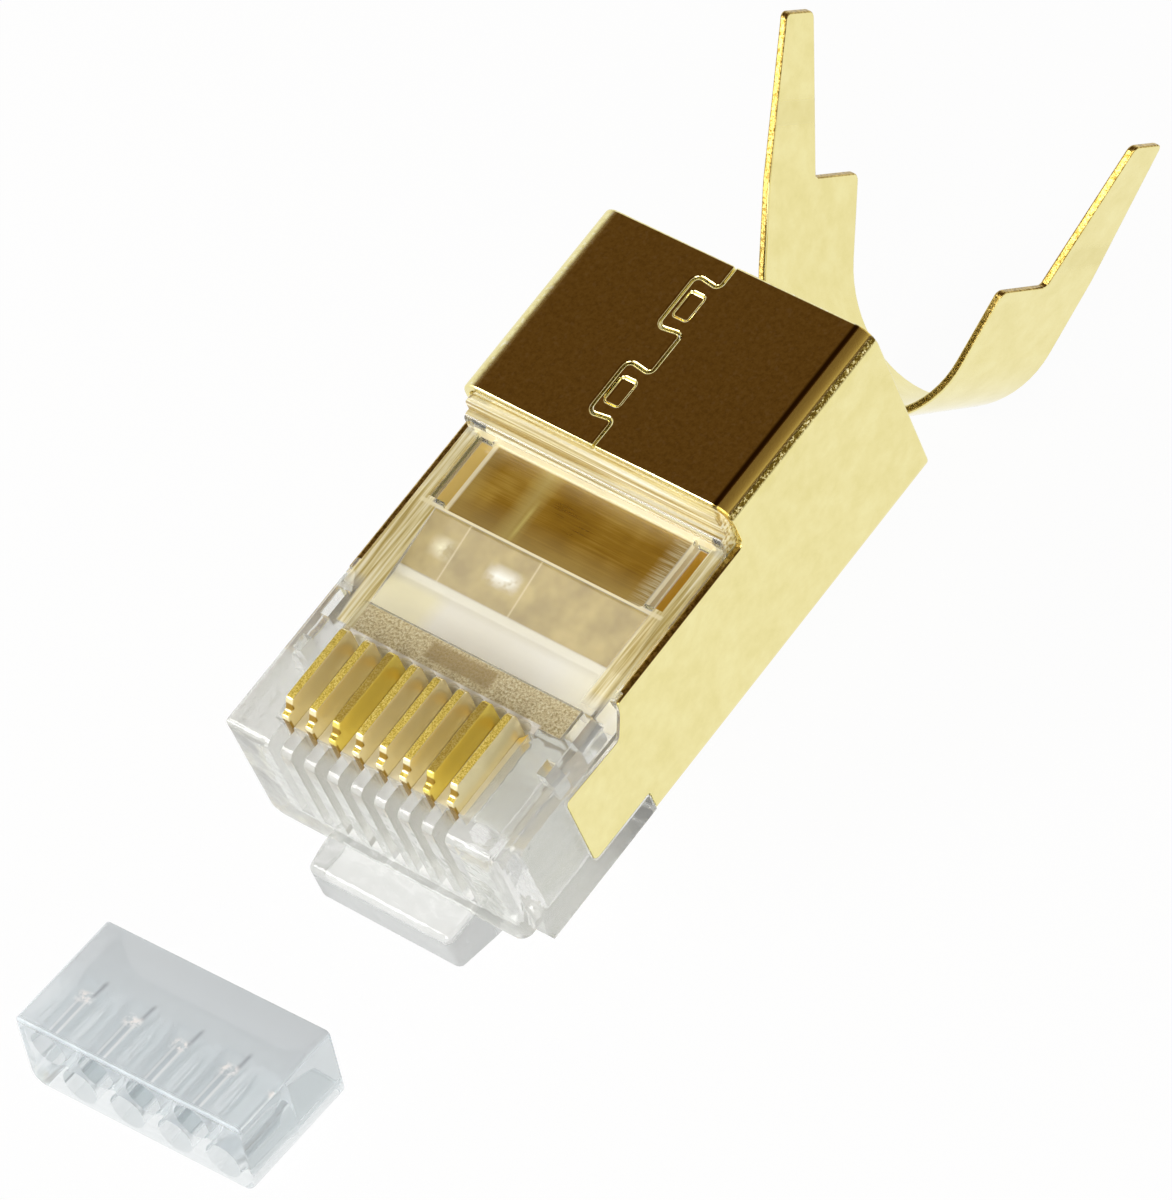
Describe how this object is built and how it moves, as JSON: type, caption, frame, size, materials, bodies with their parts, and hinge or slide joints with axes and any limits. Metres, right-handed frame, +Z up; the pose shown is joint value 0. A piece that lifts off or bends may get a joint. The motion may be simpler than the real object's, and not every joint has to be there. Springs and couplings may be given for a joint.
{
  "type": "rj45 modular plug",
  "caption": "Shielded modular network plug with a clear housing, spring latch, crimp contacts, a cable clamp at the rear and its loose wire load bar.",
  "frame": {"origin": "middle of the footprint of plug and load bar, on the floor they lie on", "axes": "+X across the plug, +Y from the nose towards the cable end, +Z up from the floor to the contact side"},
  "size_m": [0.0134, 0.0462, 0.0127],
  "materials": {
    "clear_housing": "clear moulded polycarbonate, glossy",
    "clear_bar": "clear moulded polycarbonate, slightly cool, satin top",
    "gold_shield": "bright gold-plated sheet, mirror-like with fine speckle at the folds",
    "gold_contact": "gold-plated stamped blade with sheared edges"
  },
  "bodies": {
    "plug": {"housing": "clear_housing", "shield": "gold_shield", "load_bar": "clear_bar"},
    "latch": {"latch_lever": "clear_housing"},
    "contact_1_blade": {"contact_1": "gold_contact"},
    "contact_2_blade": {"contact_2": "gold_contact"},
    "contact_3_blade": {"contact_3": "gold_contact"},
    "contact_4_blade": {"contact_4": "gold_contact"},
    "contact_5_blade": {"contact_5": "gold_contact"},
    "contact_6_blade": {"contact_6": "gold_contact"},
    "contact_7_blade": {"contact_7": "gold_contact"},
    "contact_8_blade": {"contact_8": "gold_contact"}
  },
  "joints": [
    {"name": "latch_press", "type": "hinge", "parent": "plug", "child": "latch", "pos_m": [0, -0.00894, 0.00053], "axis": [1, 0, 0], "range_deg": [0, 10], "stiffness_Nm_per_rad": 0.2},
    {"name": "crimp_1", "type": "slide", "parent": "plug", "child": "contact_1_blade", "axis": [0, 0.1818, -0.9833], "range_m": [0, 0.00115]},
    {"name": "crimp_2", "type": "slide", "parent": "plug", "child": "contact_2_blade", "axis": [0, 0.1818, -0.9833], "range_m": [0, 0.00115]},
    {"name": "crimp_3", "type": "slide", "parent": "plug", "child": "contact_3_blade", "axis": [0, 0.1818, -0.9833], "range_m": [0, 0.00115]},
    {"name": "crimp_4", "type": "slide", "parent": "plug", "child": "contact_4_blade", "axis": [0, 0.1818, -0.9833], "range_m": [0, 0.00115]},
    {"name": "crimp_5", "type": "slide", "parent": "plug", "child": "contact_5_blade", "axis": [0, 0.1818, -0.9833], "range_m": [0, 0.00115]},
    {"name": "crimp_6", "type": "slide", "parent": "plug", "child": "contact_6_blade", "axis": [0, 0.1818, -0.9833], "range_m": [0, 0.00115]},
    {"name": "crimp_7", "type": "slide", "parent": "plug", "child": "contact_7_blade", "axis": [0, 0.1818, -0.9833], "range_m": [0, 0.00115]},
    {"name": "crimp_8", "type": "slide", "parent": "plug", "child": "contact_8_blade", "axis": [0, 0.1818, -0.9833], "range_m": [0, 0.00115]}
  ],
  "couplings": [
    {"joint": "crimp_2", "follows": "crimp_1", "ratio": 1},
    {"joint": "crimp_3", "follows": "crimp_1", "ratio": 1},
    {"joint": "crimp_4", "follows": "crimp_1", "ratio": 1},
    {"joint": "crimp_5", "follows": "crimp_1", "ratio": 1},
    {"joint": "crimp_6", "follows": "crimp_1", "ratio": 1},
    {"joint": "crimp_7", "follows": "crimp_1", "ratio": 1},
    {"joint": "crimp_8", "follows": "crimp_1", "ratio": 1}
  ]
}
